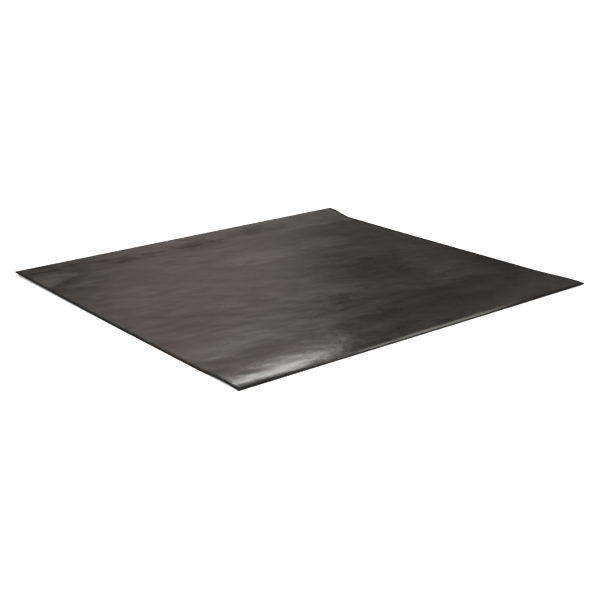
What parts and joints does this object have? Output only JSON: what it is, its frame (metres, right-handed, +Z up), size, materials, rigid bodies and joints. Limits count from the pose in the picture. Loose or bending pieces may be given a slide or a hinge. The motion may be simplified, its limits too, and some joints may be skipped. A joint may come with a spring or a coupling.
{
  "type": "anti fatigue mat",
  "caption": "Thin flexible rectangular black rubber floor mat to stand on, smooth on top with square-cut edges, lying slightly curled from being stored rolled.",
  "frame": {"origin": "on the floor under the middle of the mat's box", "axes": "+Z up; X along the mat's length, from the left end to the right end; +Y from the near edge towards the far edge, whose right corner is the one that lifts most"},
  "size_m": [1, 0.9144, 0.0172],
  "materials": {
    "skin_rubber": "smooth satin, faint lengthwise calender streaks and a dry bloom",
    "sponge_rubber": "matt, fine closed cells showing on the cut edge",
    "backing_rubber": "matt, fine cloth-pressed grain"
  },
  "bodies": {
    "root": {"wear_skin": "skin_rubber", "cushion_core": "sponge_rubber", "grip_backing": "backing_rubber"}
  },
  "joints": []
}
